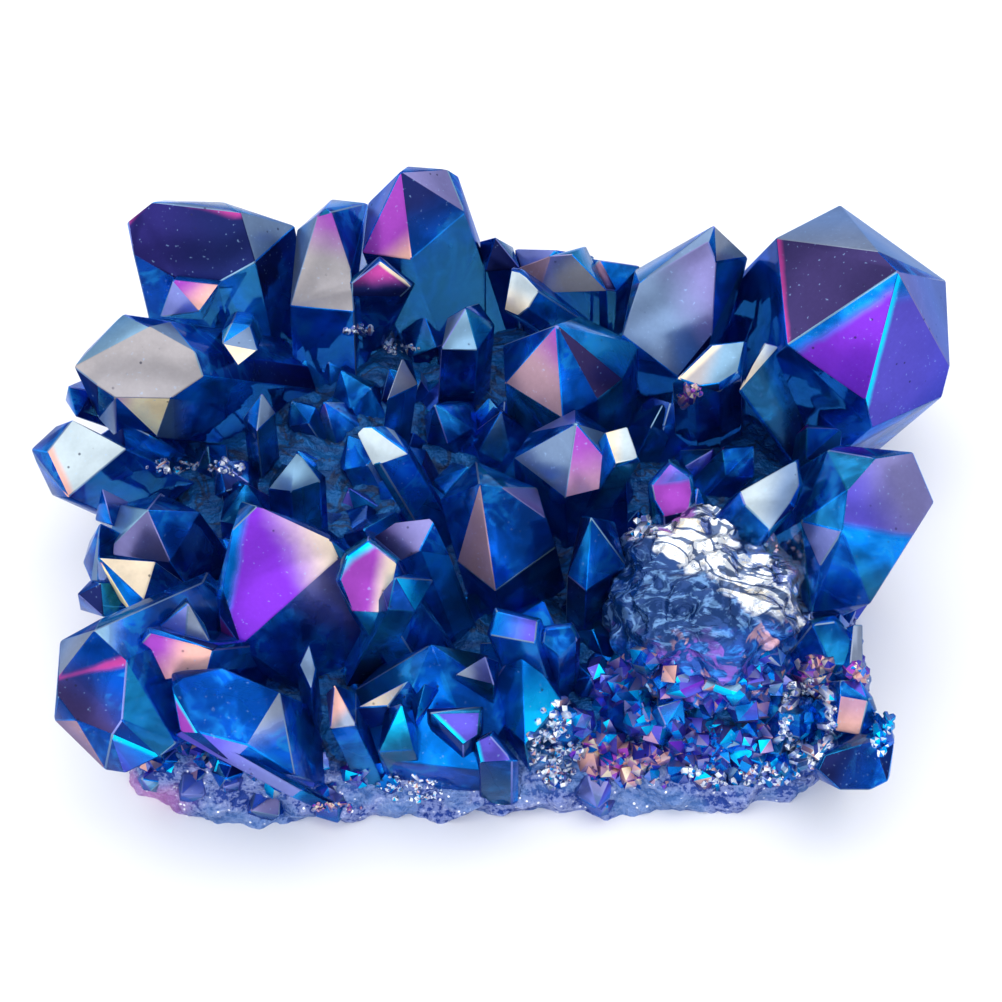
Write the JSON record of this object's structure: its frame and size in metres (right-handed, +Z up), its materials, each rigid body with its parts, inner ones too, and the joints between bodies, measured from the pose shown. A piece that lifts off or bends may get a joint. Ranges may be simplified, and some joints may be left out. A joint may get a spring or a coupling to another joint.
{
  "type": "aura-coated quartz crystal cluster",
  "caption": "Cluster of pointed quartz crystals with a blue iridescent metallic coating, grown together on a rough crust with a flat-cut base.",
  "frame": {"origin": "middle of the crust's flat-cut resting face", "axes": "+X along the cluster's longest side toward the largest crystal's side, +Y away from the viewer's side, +Z up from the resting face"},
  "size_m": [0.0922, 0.0743, 0.0317],
  "materials": {
    "coated_quartz": "polished natural crystal faces under a thin iridescent blue metallic film"
  },
  "bodies": {
    "root": {"crystal_cluster": "coated_quartz"}
  },
  "joints": []
}
